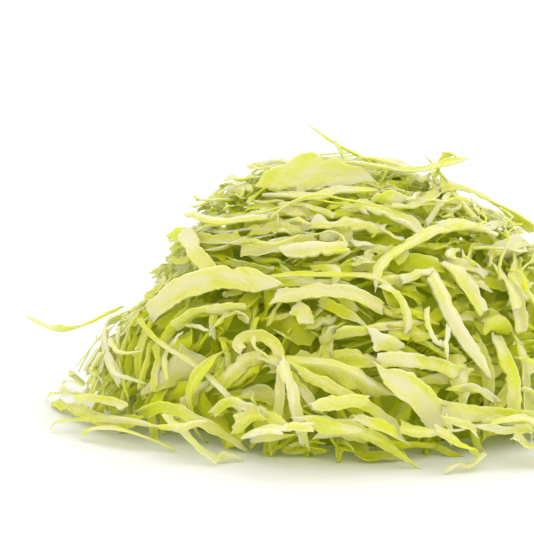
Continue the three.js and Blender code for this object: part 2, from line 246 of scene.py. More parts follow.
def fromFront(sketched):
    tilt = math.radians(cameraLook["tilt"])
    up = np.array((0, math.sin(tilt), math.cos(tilt)))
    back, aim = np.array(backWay), np.array(aimPoint)
    eye = aim - back * cameraLook["distance"]
    through = aim + np.array((sketched[0] - aim[0], 0, 0)) + up * (sketched[1] - sketch["height"])
    sight = unit(through - eye)
    reach = np.arange(0.8 * cameraLook["distance"], 1.2 * cameraLook["distance"], 0.5)
    points = eye + sight * reach[:, None]
    share = np.where(points[:, 2] < 0, 0, packedShare(points))
    hit = share < 1
    k = int(np.argmax(hit))
    if not hit.any() or points[k, 1] > sketch["farthest"]:
        k = int(np.argmin(np.where(points[:, 2] < 0, 9, share)))
    return unit(points[k] - centre)


def fromOrigin(sketched):
    azimuth, elevation = np.radians(sketched)
    level = math.cos(elevation)
    out = np.array((level * math.cos(azimuth), level * math.sin(azimuth), math.sin(elevation)))
    return unit(out * packedReach(out) - centre)


def catmullRom(knots, t):
    knots = np.asarray(knots, float)
    padded = np.vstack((2 * knots[0] - knots[1], knots, 2 * knots[-1] - knots[-2]))
    place = np.clip(t, 0, 1) * (len(knots) - 1)
    i = np.minimum(place.astype(int), len(knots) - 2)
    f = (place - i)[:, None]
    a, b, c, d = padded[i], padded[i + 1], padded[i + 2], padded[i + 3]
    return 0.5 * (2 * b + (c - a) * f + (2 * a - 5 * b + 4 * c - d) * f**2 + (3 * b - a - 3 * c + d) * f**3)


shredStep, fineStep = 5.5, 1.1  # a straight stretch of a shred, and the spacing of its points


# Evenly spaced points along a route, as many as the shred has straight stretches.
def routePoints(knots):
    t = np.linspace(0, 1, 401)
    curve = catmullRom(knots, t)
    walked = np.concatenate(([0], np.cumsum(np.linalg.norm(np.diff(curve, axis=0), axis=1))))
    stretches = max(3, int(walked[-1] / shredStep + 0.5))
    count = stretches * int(shredStep / fineStep + 0.5)
    along = np.interp(np.linspace(0, walked[-1], count + 1), walked, t)
    return catmullRom(knots, along), stretches


def smoothAlong(values, passes):
    for _ in range(passes):
        before = np.concatenate((values[:1], values, values[-1:]))
        values = before[:-2] + values + before[2:]
        values = unit(values) if values.ndim == 2 else values / 3
    return values


def taper(share, tip):
    end = np.minimum(np.minimum(share, 1 - share) / 0.16, 1)
    return tip + (1 - tip) * np.sin(end * math.pi / 2)


# Lays one shred on what has grown so far; gives its middle line with a side and a facing at every point.
def layShred(grown, knots, width, thick, roll=0.0, stiffness=8, free=False, liftEnds=(0.0, 0.0), sink=0.0):
    points, stretches = routePoints(knots)
    per = (len(points) - 1) // stretches
    share = np.linspace(0, 1, len(points))
    out = unit(points - centre)
    ahead = np.vstack((points[1:], points[-1:])) - np.vstack((points[:1], points[:-1]))
    along = unit(ahead)
    facing = smoothAlong(bareSurface(out)[1], 12)
    facing = unit(facing - along * dot(facing, along)[:, None])
    side = np.cross(along, facing)
    if roll:
        turned = facing * math.cos(roll) + side * math.sin(roll)
        side = side * math.cos(roll) - facing * math.sin(roll)
        facing = turned
    half = width / 2 * taper(share, 0.35)
    halfThick = thick / 2 * taper(share, 0.6)
    across = np.array((-1, -0.6, -0.2, 0.2, 0.6, 1))
    resting = bare.at(out)
    for turn in range(3):
        middle = centre + out * resting[:, None] - facing * halfThick[:, None]
        rim = middle[:, None] + side[:, None] * (across[None, :, None] * (half + 0.5)[:, None, None])
        ray = rim - centre
        reach = np.linalg.norm(ray, axis=-1)
        lack = (grown.at(ray / reach[..., None]) + heap["gap"] - reach).max(1)
        resting = resting + (lack if turn == 0 else np.maximum(lack, 0))
    stand = np.linalg.norm(points - centre, axis=1)
    rings = np.empty(stretches + 1)
    for i in range(stretches + 1):
        rings[i] = resting[max(0, (i - 1) * per) : (i + 1) * per + 1].max()
        if free:
            rings[i] = max(rings[i], stand[i * per])
    for _ in range(stiffness):
        rings[1:-1] = np.maximum(rings[1:-1], (rings[:-2] + rings[2:]) / 2)
    place = np.arange(len(points)) / per
    distances = np.interp(place, np.arange(stretches + 1), rings)
    distances = distances - (distances - resting).min() - sink
    bumps = np.abs(2 * share - 1) ** 3
    distances = distances + bumps * np.where(share < 0.5, liftEnds[0], liftEnds[1])
    free = (stand > bare.at(out) + 5) if free else np.zeros(len(points), bool)
    grid = np.linspace(-1, 1, max(3, int((width + 1.2) / 0.7) + 1))
    top = centre + out * distances[:, None] + facing * halfThick[:, None]
    top = top[:, None] + side[:, None] * (grid[None, :, None] * (half + 0.6)[:, None, None])
    return {
        "points": centre + out * distances[:, None],
        "side": side,
        "facing": facing,
        "top": top[~free].reshape(-1, 3),
        "length": float(np.linalg.norm(np.diff(points, axis=0), axis=1).sum()),
    }


# One flat strip of leaf, from a grid that is extruded once.


def makeTemplate(name, lengthwise, crosswise):
    deselectAll()
    bpy.ops.mesh.primitive_grid_add(x_subdivisions=lengthwise, y_subdivisions=crosswise, size=2)
    strip = bpy.context.object
    strip.name = name
    bpy.ops.object.mode_set(mode="EDIT")
    bpy.ops.mesh.select_all(action="SELECT")
    bpy.ops.mesh.extrude_region_move(TRANSFORM_OT_translate={"value": (0, 0, 1)})
    bpy.ops.mesh.select_all(action="SELECT")
    bpy.ops.mesh.remove_doubles(threshold=1e-5)
    bpy.ops.mesh.normals_make_consistent(inside=False)
    bpy.ops.object.mode_set(mode="OBJECT")
    mesh = strip.data
    corners = np.zeros(len(mesh.vertices) * 3)
    mesh.vertices.foreach_get("co", corners)
    corners = corners.reshape(-1, 3)
    # laying the strip mirrors it, so its faces are wound the other way here
    faces = np.array([list(face.vertices)[::-1] for face in mesh.polygons])
    bpy.data.objects.remove(strip)
    return {
        "along": (corners[:, 0] + 1) / 2,
        "across": corners[:, 1],
        "over": corners[:, 2] * 2 - 1,
        "faces": faces,
    }


templates = {
    "fine": makeTemplate("fineStrip", 60, 9),
    "detail": makeTemplate("detailStrip", 40, 6),
    "middle": makeTemplate("middleStrip", 26, 4),
    "coarse": makeTemplate("coarseStrip", 14, 4),
}
print("strips drawn")


def wavyLine(rng, share, waves):
    line = np.zeros_like(share)
    for k in range(1, waves + 1):
        line = line + rng.normal() / k**0.7 * np.sin(2 * math.pi * (k * 0.5 * share + rng.random()))
    return line


leafShapes = {
    # how each tone of leaf is curled: cup, edge ruffle, twist, how thin its edges are, and its greenness
    "rib": {"cup": 0.16, "ruffle": 0.08, "twist": 0.2, "thinEdge": 0.65, "green": (0.04, 0.45)},
    "pale": {"cup": 0.3, "ruffle": 0.2, "twist": 0.35, "thinEdge": 0.5, "green": (0.2, 0.68)},
    "heart": {"cup": 0.3, "ruffle": 0.22, "twist": 0.35, "thinEdge": 0.5, "green": (0.25, 0.65)},
    "leaf": {"cup": 0.35, "ruffle": 0.3, "twist": 0.45, "thinEdge": 0.5, "green": (0.42, 0.85)},
}


cutLook = {
    "slant": 0.8,  # how far from square an end is cut, as a share of half the width
    "ragged": 0.5,  # how far the cut end wanders, in mm
    "teeth": 9,
    "tips": (0.2, 0.75, 1.0),  # how wide an end stays, from pointed to blunt
    "tipShares": (0.12, 0.25, 0.63),
    "bites": 3,
    "biteLength": (0.6, 2.2),
    "biteDepth": 0.4,
    "nickStep": 1.7,
    "ruffleStep": 7,
    "leastHalf": 0.15,
    "sway": 0.3,
    "edgeGreen": 0.32,  # how much greener the edges are than the rib
    "evenGreen": 0.68,
}


# Bends a copy of the flat strip along a laid shred; gives its points, face corners' map and its leaf values.
def shapeShred(template, laid, width, thick, tone, rng, own=None):
    form = dict(leafShapes[tone], **(own or {}))
    u, v, w = template["along"], template["across"], template["over"]
    length = max(laid["length"], 1.0)
    skew = form.get("skew", (rng.normal() * cutLook["slant"], rng.normal() * cutLook["slant"]))
    teeth = np.linspace(-1, 1, cutLook["teeth"])
    ragged = [np.interp(v, teeth, rng.normal(0, cutLook["ragged"], len(teeth))) for _ in range(2)]
    skew = [turn * width / 2 for turn in skew]
    cuts = [np.clip((skew[k] * v + ragged[k]) / length, -0.5, 0.5) for k in (0, 1)]
    # a long slanted cut eases in over more of the strip, so that the strip never folds back on itself
    ease = [min(8, 0.6 / max(0.01, np.abs(cut).max())) for cut in cuts]
    slant = cuts[0] * (1 - u) ** ease[0] - cuts[1] * u ** ease[1]
    place = (u + slant) * (len(laid["points"]) - 1)
    i = np.clip(np.floor(place).astype(int), 0, len(laid["points"]) - 2)
    f = (place - i)[:, None]
    blendOf = {}
    for key in ("points", "side", "facing"):
        line = laid[key]
        if key == "points":
            for _ in range(3):
                line = np.vstack((line[:1], (line[:-2] + 2 * line[1:-1] + line[2:]) / 4, line[-1:]))
        blendOf[key] = line[i] * (1 - f) + line[i + 1] * f
    side, facing = unit(blendOf["side"]), unit(blendOf["facing"])

    twist = form["twist"] * (rng.normal() * (2 * u - 1) + 0.5 * wavyLine(rng, u, 2))
    twistedSide = side * np.cos(twist)[:, None] + facing * np.sin(twist)[:, None]
    facing = facing * np.cos(twist)[:, None] - side * np.sin(twist)[:, None]
    side = twistedSide

    tips = form.get("tip", [rng.choice(cutLook["tips"], p=cutLook["tipShares"]) for _ in range(2)])
    tips = tips if isinstance(tips, list) else [tips, tips]
    reachOfTip = [(1 - tip) * (2.2 * width + 3) + 0.5 for tip in tips]
    starts = tips[0] + (1 - tips[0]) * np.minimum(u * length / reachOfTip[0], 1) ** 0.8
    finishes = tips[1] + (1 - tips[1]) * np.minimum((1 - u) * length / reachOfTip[1], 1) ** 0.8
    body = np.minimum(starts, finishes)
    end = np.minimum(np.minimum(u, 1 - u) * length / (0.5 * width + 1), 1)
    for bite in range(cutLook["bites"]):
        spot, size = rng.random(), rng.uniform(*cutLook["biteLength"]) / length
        depth = rng.uniform(0, cutLook["biteDepth"])
        bitten = depth * np.exp(-(((u - spot) / size) ** 2)) * (v * (bite % 2 - 0.5) > 0)
        body = body * (1 - bitten)
    steps = np.linspace(0, 1, int(6 + length / cutLook["nickStep"]))
    nicks = [np.interp(u, steps, rng.normal(0, 1, len(steps))) for _ in range(2)]
    edgeIn = 0.8 * np.where(v > 0, nicks[0], nicks[1])
    edgeIn = edgeIn + np.where(v > 0, wavyLine(rng, u, 4), wavyLine(rng, u, 4))
    nickDepth = min(0.12 + 0.02 * width, 0.1 * width)
    half = np.maximum(width / 2 + edgeIn * nickDepth * np.abs(v), cutLook["leastHalf"] * width) * body
    cup = form["cup"] * (rng.normal() * 0.7 + 0.5) * (1 + 0.5 * wavyLine(rng, u, 3))
    waves = int(4 + length / cutLook["ruffleStep"])
    ripple = form["ruffle"] * np.where(v > 0, wavyLine(rng, u, waves), wavyLine(rng, u, waves))
    ribAt = rng.uniform(-0.5, 0.5)
    fold = rng.normal(0, form["cup"]) * (np.abs(v - ribAt) - 0.5)
    heightOff = (cup * (v * v - 0.33) + fold + ripple * np.abs(v) ** 1.5) * width / 2
    heightOff = heightOff * np.minimum(body + 0.2, 1)
    ridge = np.exp(-(((v - ribAt) / 0.55) ** 2))
    bulk = form["thinEdge"] + (1 - form["thinEdge"]) * ridge
    bulk = bulk * (1 + 0.15 * wavyLine(rng, u, 3)) * (0.7 + 0.3 * end)
    sway = form.get("sway", cutLook["sway"]) * (0.4 + length / 50)
    spots = blendOf["points"] + side * (v * half + sway * wavyLine(rng, u, 4))[:, None]
    heightOff = heightOff + 0.8 * sway * wavyLine(rng, u, 4)
    spots = spots + facing * (heightOff + w * thick / 2 * np.maximum(bulk, 0.15))[:, None]

    low, high = form["green"]
    green = (low + high) / 2 + (high - low) / 2 * np.tanh(wavyLine(rng, u, 3) + 0.6 * rng.normal() * v)
    # the edge term is the leaf's own greener blade; the depth term is painted shade: deep-lying shreds are
    # made greener, standing in for the saturated light that reaches them through the leaves above
    green = green + cutLook["edgeGreen"] * (cutLook["evenGreen"] - ridge) + form.get("depth", 0)
    stainAt = form.get("stain", (2, 0, 1))
    stain = np.exp(-((((u - stainAt[0]) * length) ** 2 + (v * half - stainAt[1]) ** 2) / stainAt[2] ** 2))
    turnUv = rng.normal() * 0.25
    alongMm, acrossMm = u * length, v * half
    c, s = math.cos(turnUv), math.sin(turnUv)
    uv = np.stack((alongMm * c - acrossMm * s, alongMm * s + acrossMm * c), -1)
    return {
        "spots": spots,
        "faces": template["faces"],
        "uv": uv * 0.1 + rng.uniform(0, 50, 2),
        "green": np.clip(green, 0, 1),
        "rim": np.maximum(np.abs(v) ** 4, 1 - end),
        "lot": np.full(len(u), rng.random()),
        "stain": stain,
    }


# Joins shaped shreds in one mesh, which carries the leaf values for its material.
def makePiece(name, shreds, material):
    spots = np.vstack([shred["spots"] for shred in shreds]) * metre
    spots[:, 2] = np.maximum(spots[:, 2], 0.0001)
    offset, faces = 0, []
    for shred in shreds:
        faces.append(shred["faces"] + offset)
        offset += len(shred["spots"])
    faces = np.vstack(faces)
    mesh = bpy.data.meshes.new(name)
    mesh.vertices.add(len(spots))
    mesh.vertices.foreach_set("co", spots.ravel())
    mesh.loops.add(faces.size)
    mesh.loops.foreach_set("vertex_index", faces.ravel().astype(np.int32))
    mesh.polygons.add(len(faces))
    mesh.polygons.foreach_set("loop_start", np.arange(0, faces.size, 4, dtype=np.int32))
    mesh.update(calc_edges=True)
    mesh.polygons.foreach_set("use_smooth", np.ones(len(faces), bool))
    uv = np.vstack([shred["uv"] for shred in shreds])[faces.ravel()]
    mesh.uv_layers.new(name="leafMap").data.foreach_set("uv", uv.ravel())
    for key in ("green", "rim", "lot", "stain"):
        values = np.concatenate([shred[key] for shred in shreds])
        mesh.attributes.new(key, "FLOAT", "POINT").data.foreach_set("value", values)
    mesh.materials.append(material)
    mesh.validate()
    piece = bpy.data.objects.new(name, mesh)
    scene.collection.objects.link(piece)
    deselectAll()
    piece.select_set(True)
    bpy.context.view_layer.objects.active = piece
    bpy.ops.object.shade_smooth_by_angle(angle=math.radians(48))
    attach(piece, "root")
    return piece


# A piece of one tone of leaf, with its finish.
def makeTonePiece(name, shreds, tone):
    piece = makePiece(name, shreds, leafMaterials[tone])
    return piece


# The same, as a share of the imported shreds, in two halves so that neither is too heavy.
def makePackedPieces(name, made, parts=2):
    for tone, shreds in made.items():
        size = (len(shreds) + parts - 1) // parts
        for part in range(parts):
            some = shreds[part * size : (part + 1) * size]
            if some:
                label = f"{name}_{tone}_{part + 1}" if parts > 1 else f"{name}_{tone}"
                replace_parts(makeTonePiece(label, some, tone), "packed_shreds")


# Materials.


def addSocket(group, name, kind, way, value=None):
    socket = group.interface.new_socket(name=name, in_out=way, socket_type=kind)
    if value is not None:
        socket.default_value = value
    return socket


def link(tree, source, target):
    tree.links.new(source, target)


def mathNode(tree, operation, first, second=None, third=None, clamp=False):
    node = tree.nodes.new("ShaderNodeMath")
    node.operation = operation
    node.use_clamp = clamp
    for i, value in enumerate((first, second, third)):
        if value is None:
            continue
        if isinstance(value, (int, float)):
            node.inputs[i].default_value = value
        else:
            link(tree, value, node.inputs[i])
    return node.outputs[0]


def times(tree, value, factor):
    return mathNode(tree, "MULTIPLY", value, factor)


def less(tree, value, amount, clamp=False):
    return mathNode(tree, "SUBTRACT", value, amount, clamp=clamp)


def mixColour(tree, factor, first, second, blend="MIX"):
    node = tree.nodes.new("ShaderNodeMix")
    node.data_type = "RGBA"
    node.blend_type = blend
    for name, value in (("Factor", factor), ("A", first), ("B", second)):
        socket = node.inputs[name]
        if isinstance(value, (int, float, tuple)):
            socket.default_value = value
        else:
            link(tree, value, socket)
    return node.outputs["Result"]


def noiseNode(tree, vector, scale, detail, rough=0.5, distortion=0.0):
    node = tree.nodes.new("ShaderNodeTexNoise")
    node.inputs["Scale"].default_value = scale
    node.inputs["Detail"].default_value = detail
    node.inputs["Roughness"].default_value = rough
    node.inputs["Distortion"].default_value = distortion
    link(tree, vector, node.inputs["Vector"])
    return node.outputs["Fac"]


def stretchNode(tree, vector, scale):
    node = tree.nodes.new("ShaderNodeMapping")
    node.inputs["Scale"].default_value = scale
    link(tree, vector, node.inputs["Vector"])
    return node.outputs["Vector"]


# Veins, cells and blotches of a lettuce leaf, read from the strip's own map.
def makeLeafGrain():
    group = bpy.data.node_groups.new("leafGrain", "ShaderNodeTree")
    addSocket(group, "Vector", "NodeSocketVector", "INPUT")
    addSocket(group, "Veins", "NodeSocketFloat", "OUTPUT")
    addSocket(group, "Blotches", "NodeSocketFloat", "OUTPUT")
    addSocket(group, "Cells", "NodeSocketFloat", "OUTPUT")
    given, put = group.nodes.new("NodeGroupInput"), group.nodes.new("NodeGroupOutput")
    vector = given.outputs["Vector"]
    fibres = noiseNode(group, stretchNode(group, vector, (0.9, 7.5, 1)), 1.6, 3, 0.55, 0.3)
    branches = noiseNode(group, stretchNode(group, vector, (2.2, 2.8, 1)), 1.3, 2, 0.5, 1.4)
    ridge = mathNode(group, "ABSOLUTE", less(group, branches, 0.5))
    branch = less(group, 1.0, times(group, ridge, 14.0), clamp=True)
    fibre = mathNode(group, "MULTIPLY", less(group, fibres, 0.5), 3.0, clamp=True)
    veins = mathNode(group, "ADD", times(group, branch, 0.55), fibre, clamp=True)
    blotches = noiseNode(group, stretchNode(group, vector, (0.7, 1.8, 1)), 1.2, 2, 0.5, 0.3)
    link(group, veins, put.inputs["Veins"])
    link(group, blotches, put.inputs["Blotches"])
    link(group, noiseNode(group, vector, 26.0, 2, 0.6), put.inputs["Cells"])
    return group


tintLook = {
    "blotches": 0.9,  # how much greener or paler the patches of a leaf are
    "veins": 0.36,
    "rim": 0.12,
    "warm": (0.95, 0.83, 0.33, 1),
    "stain": (0.68, 0.3, 0.08, 1),
}


# The leaf's colour from white rib to deep green.
def makeLeafColour():
    group = bpy.data.node_groups.new("leafColour", "ShaderNodeTree")
    for name, colour in (
        ("Rib", (0.80, 0.77, 0.47, 1)),
        ("Pale", (0.76, 0.75, 0.22, 1)),
        ("Leaf", (0.66, 0.71, 0.05, 1)),
        # the deep step is partly the leaf's own greenest tone and partly painted shade, as deep-lying shreds
        # are pushed towards it
        ("Deep", (0.70, 0.79, 0.004, 1)),
    ):
        addSocket(group, name, "NodeSocketColor", "INPUT", colour)
    for name in ("Green", "Veins", "Blotches", "Rim", "Lot", "Stain"):
        addSocket(group, name, "NodeSocketFloat", "INPUT", 0)
    addSocket(group, "Color", "NodeSocketColor", "OUTPUT")
    given, put = group.nodes.new("NodeGroupInput"), group.nodes.new("NodeGroupOutput")
    patchy = times(group, less(group, given.outputs["Blotches"], 0.5), tintLook["blotches"])
    green = mathNode(group, "ADD", given.outputs["Green"], patchy)
    green = less(group, green, times(group, given.outputs["Veins"], tintLook["veins"]))
    green = less(group, green, times(group, given.outputs["Rim"], tintLook["rim"]), clamp=True)
    # three equal steps, from rib to pale, leaf and deep
    low = mathNode(group, "MULTIPLY", green, 3.0, clamp=True)
    middle = less(group, times(group, green, 3.0), 1.0, clamp=True)
    high = less(group, times(group, green, 3.0), 2.0, clamp=True)
    colour = mixColour(group, low, given.outputs["Rib"], given.outputs["Pale"])
    colour = mixColour(group, middle, colour, given.outputs["Leaf"])
    colour = mixColour(group, high, colour, given.outputs["Deep"])
    warmth = mathNode(group, "MULTIPLY", less(group, given.outputs["Lot"], 0.35), 0.3, clamp=True)
    colour = mixColour(group, warmth, colour, tintLook["warm"], "MULTIPLY")
    colour = mixColour(group, given.outputs["Stain"], colour, tintLook["stain"])
    link(group, colour, put.inputs["Color"])
    return group


leafGrain, leafColour = makeLeafGrain(), makeLeafColour()

leafGlow = {"radius": (0.9, 1.0, 1.2), "depth": 0.003}  # how far light spreads inside a leaf

leafFinishes = {
    # tone: roughness, vein relief, how much light enters, and how much it shines
    "rib": {"rough": 0.34, "relief": 0.10, "weight": 0.9, "shine": 0.2},
    "pale": {"rough": 0.38, "relief": 0.22, "weight": 0.9, "shine": 0.16},
    "heart": {"rough": 0.4, "relief": 0.22, "weight": 0.9, "shine": 0.16},
    "leaf": {"rough": 0.42, "relief": 0.3, "weight": 0.9, "shine": 0.2},
}


def makeLeafMaterial(tone):
    finish = leafFinishes[tone]
    material = bpy.data.materials.new("lettuce" + tone.capitalize())
    material.use_nodes = True
    tree = material.node_tree
    shader = tree.nodes["Principled BSDF"]
    uvMap = tree.nodes.new("ShaderNodeUVMap")
    uvMap.uv_map = "leafMap"
    values = {}
    for key in ("green", "rim", "lot", "stain"):
        attribute = tree.nodes.new("ShaderNodeAttribute")
        attribute.attribute_name = key
        values[key] = attribute.outputs["Fac"]
    grain = tree.nodes.new("ShaderNodeGroup")
    grain.node_tree = leafGrain
    link(tree, uvMap.outputs["UV"], grain.inputs["Vector"])
    colour = tree.nodes.new("ShaderNodeGroup")
    colour.node_tree = leafColour
    link(tree, values["green"], colour.inputs["Green"])
    link(tree, values["rim"], colour.inputs["Rim"])
    link(tree, values["lot"], colour.inputs["Lot"])
    link(tree, values["stain"], colour.inputs["Stain"])
    link(tree, grain.outputs["Veins"], colour.inputs["Veins"])
    link(tree, grain.outputs["Blotches"], colour.inputs["Blotches"])
    link(tree, colour.outputs["Color"], shader.inputs["Base Color"])
    rough = mathNode(tree, "MULTIPLY_ADD", grain.outputs["Blotches"], 0.3, finish["rough"] - 0.15)
    link(tree, rough, shader.inputs["Roughness"])
    sunk = times(tree, grain.outputs["Veins"], -1.0)
    height = mathNode(tree, "MULTIPLY_ADD", grain.outputs["Cells"], 0.12, sunk)
    bump = tree.nodes.new("ShaderNodeBump")
    bump.inputs["Strength"].default_value = finish["relief"]
    bump.inputs["Distance"].default_value = 0.0006
    link(tree, height, bump.inputs["Height"])
    link(tree, bump.outputs["Normal"], shader.inputs["Normal"])
    shader.inputs["Subsurface Weight"].default_value = finish["weight"]
    shader.inputs["Subsurface Radius"].default_value = leafGlow["radius"]
    shader.inputs["Subsurface Scale"].default_value = leafGlow["depth"]
    shader.inputs["Specular IOR Level"].default_value = finish["shine"]
    return material


leafMaterials = {tone: makeLeafMaterial(tone) for tone in leafFinishes}


def makeCoreMaterial():
    material = bpy.data.materials.new("lettuceDeep")
    material.use_nodes = True
    tree = material.node_tree
    shader = tree.nodes["Principled BSDF"]
    place = tree.nodes.new("ShaderNodeTexCoord")
    streaks = noiseNode(tree, stretchNode(tree, place.outputs["Object"], (60, 60, 240)), 1.5, 4, 0.6, 0.5)
    # the core's colour is partly the lettuce's green and partly painted shade: it is the same bright deep
    # green given to deep-lying shreds, standing in for saturated light far down in the gaps
    colour = mixColour(tree, streaks, (0.6, 0.69, 0.004, 1), (0.76, 0.8, 0.02, 1))
    link(tree, colour, shader.inputs["Base Color"])
    link(tree, mathNode(tree, "MULTIPLY_ADD", streaks, 0.2, 0.5), shader.inputs["Roughness"])
    shader.inputs["Subsurface Weight"].default_value = 1
    shader.inputs["Subsurface Radius"].default_value = leafGlow["radius"]
    shader.inputs["Subsurface Scale"].default_value = leafGlow["depth"]
    return material


print("leaf materials ready")

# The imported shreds: a green core and the shreds heaped over it.

packedLook = {
    "coreScale": 0.84,  # the core's size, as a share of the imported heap's
    "coreNarrowing": 0.08,  # how much narrower the core is at its foot
    "bundles": 1500,
    "seed": 11,
    "shortest": 14,
    "longest": 46,
    "hanging": 32,
    "onEdge": 0.2,
    "bundle": (0.35, 0.3, 0.2, 0.15),
    "sink": (0.6, 2.2),
    "lift": 1.0,
}


def makeCore():
    deselectAll()
    bpy.ops.mesh.primitive_uv_sphere_add(segments=96, ring_count=48, radius=1)
    core = bpy.context.object
    core.name = "packed_core"
    mesh = core.data
    spots = np.zeros(len(mesh.vertices) * 3)
    mesh.vertices.foreach_get("co", spots)
    spots = unit(spots.reshape(-1, 3))
    low = spots[:, 2] < 0.01
    level = unit(spots * np.array((1, 1, 0)) + 1e-12)
    x, y, z = spots.T
    ridges = 1 + 0.012 * np.sin(x * 41 + 3 * np.sin(z * 17)) * np.sin(y * 37 + z * 29)
    shaped = spots * (packedReach(spots) * packedLook["coreScale"] * ridges)[:, None]
    narrowing = packedLook["coreNarrowing"]
    shaped = shaped * (1 - narrowing * np.exp(-np.maximum(shaped[:, 2], 0) / 12))[:, None]
    footReach = packedReach(level) * packedLook["coreScale"] * (1 - narrowing)
    flat = level * (footReach * np.linalg.norm(spots[:, :2], axis=1))[:, None]
    shaped = np.where(low[:, None], flat, shaped)
    shaped[:, 2] = np.where(low, 0.05, shaped[:, 2] + 0.05)
    mesh.vertices.foreach_set("co", (shaped * metre).ravel())
    mesh.update()
    mesh.materials.append(makeCoreMaterial())
    bpy.ops.object.shade_smooth()
    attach(core, "root")
    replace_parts(core, "packed_shreds")


def tangentWays(facing):
    level = unit(np.cross(np.array((0, 0, 1.0)), facing) + 1e-9)
    return level, np.cross(facing, level)


# A bent route over the heap's surface around one point of it, with now and then a kink.
def looseRoute(rng, azimuth, elevation, length, angle, bend, knots=6):
    way = fromOrigin((azimuth, elevation))
    point, facing = bareSurface(way[None])
    level, rise = tangentWays(facing[0])
    along = level * math.cos(angle) + rise * math.sin(angle)
    off = -level * math.sin(angle) + rise * math.cos(angle)
    share = np.linspace(-0.5, 0.5, knots)
    wobble = rng.normal(0, 0.03, knots) * length
    if rng.random() < 0.35:
        turn = rng.uniform(-0.25, 0.25)
        wobble = wobble + np.maximum(share - turn, 0) * rng.normal(0, 0.6) * length
    return point[0], along, off, share * length, bend * (0.25 - share**2) * length + wobble


# The same route again, shifted sideways and turned a little, as leaves cut in one stroke lie together.
def routeBeside(base, shift, turn, slide, stretch):
    point, along, off, ahead, aside = base
    a, b = ahead * stretch + slide, aside + shift
    plane = point + along * (a * math.cos(turn) - b * math.sin(turn))[:, None]
    plane = plane + off * (a * math.sin(turn) + b * math.cos(turn))[:, None]
    return bareSurface(unit(plane - centre))[0]


toneMix = {
    # the inner shreds are mostly the greener tones: partly the lettuce's own leaf and partly painted shade, so
    # that the deep gaps read saturated green
    "inner": (("leaf", 0.66), ("heart", 0.3), ("pale", 0.04), ("rib", 0.0)),
    "outer": (("pale", 0.36), ("rib", 0.17), ("heart", 0.22), ("leaf", 0.25)),
}


def pickTone(rng, mix):
    pick = rng.random()
    for tone, share in toneMix[mix]:
        pick -= share
        if pick < 0:
            return tone
    return "pale"


shredSizes = {
    # tone: widths and thicknesses
    "rib": ((1.8, 4.6), (1.1, 2.0)),
    "pale": ((1.8, 5.4), (0.7, 1.3)),
    "heart": ((2.0, 6.5), (0.6, 1.1)),
    "leaf": ((1.6, 7.0), (0.4, 0.8)),
}


def randomShred(rng, mix, fineShare=0.0):
    tone = pickTone(rng, mix)
    (w0, w1), (t0, t1) = shredSizes[tone]
    width = rng.uniform(w0, w1) * (0.55 if rng.random() < fineShare else 1)
    thick = rng.uniform(t0, t1) * (0.8 if width < 2.5 else 1)
    return tone, width, min(thick, width * 0.55)


# The emptiest of a few random places on the heap.
def emptySpot(rng, grown, tries):
    spots = [(rng.uniform(0, 360), math.degrees(math.asin(rng.uniform(0.0, 1.0)))) for _ in range(tries)]
    ways = np.array([fromOrigin(spot) for spot in spots])
    return spots[int(np.argmin(grown.at(ways) - bare.at(ways)))]


# How the shreds lie: level high up, more of them hanging lower down, and fine and upright on the low lump.
def lieOf(rng, azimuth, elevation):
    lump = elevation < 32 and 165 < azimuth < 222
    hangs = lump or (elevation < 38 and rng.random() < (0.6 if elevation < 10 else 0.45))
    stacked = elevation > 38 and 175 < azimuth < 275
    angle = rng.normal(-0.12, 0.2) if stacked else rng.normal(0, 0.42)
    return lump, hangs, angle + (math.pi / 2 if hangs else 0)


# Lays one bundle of shreds that were cut together; the test says whether a laid shred stays.
def layBundle(rng, grown, spot, mix, fineShare, made, look, stays):
    azimuth, elevation = spot
    lump, hangs, angle = lieOf(rng, azimuth, elevation)
    tone, width, thick = randomShred(rng, mix, 0.9 if lump else fineShare)
    width = width * look.get("broad", 1)
    length = rng.uniform(look["shortest"], look["hanging"] if hangs else look["longest"])
    base = looseRoute(rng, azimuth, elevation, length, angle, rng.normal(0, 0.4))
    onEdge = rng.random() < look["onEdge"]
    placed = 0
    for k in range(rng.choice((1, 2, 3, 4), p=look["bundle"])):
        shift = 0 if k == 0 else rng.normal(0, 0.45) * (width + 1.5)
        turn, slide = rng.normal(0, 0.08), rng.normal(0, 0.12) * length
        knots = routeBeside(base, shift, turn, slide, rng.uniform(0.7, 1.1))
        wide = width * rng.uniform(0.7, 1.2)
        roll = rng.choice((-1, 1)) * rng.uniform(0.8, 1.4) if onEdge else rng.normal(0, 0.3)
        sink = rng.uniform(*look["sink"]) + (0.3 * wide if onEdge else 0)
        lifts = np.maximum(rng.normal(-1, look["lift"], 2), 0)
        laid = layShred(grown, knots, wide, thick, roll, stiffness=2, liftEnds=lifts, sink=sink)
        rise = np.linalg.norm(laid["points"] - centre, axis=1) - bare.at(unit(laid["points"] - centre))
        if laid["points"][:, 1].max() > heap["deepest"] or not stays(laid, rise, wide):
            continue
        grown.raiseTo(laid["top"])
        near = "coarse" if rise.mean() < -2.5 else "middle"
        # painted shade: the lower a shred lies under the bare surface, the greener it is coloured, standing in
        # for light passing through the leaves above it
        own = {"depth": float(np.clip((1 - rise.mean()) / 9, 0, 0.6))}
        made[tone].append(shapeShred(templates[near], laid, wide, thick, tone, rng, own))
        placed += 1
    return placed


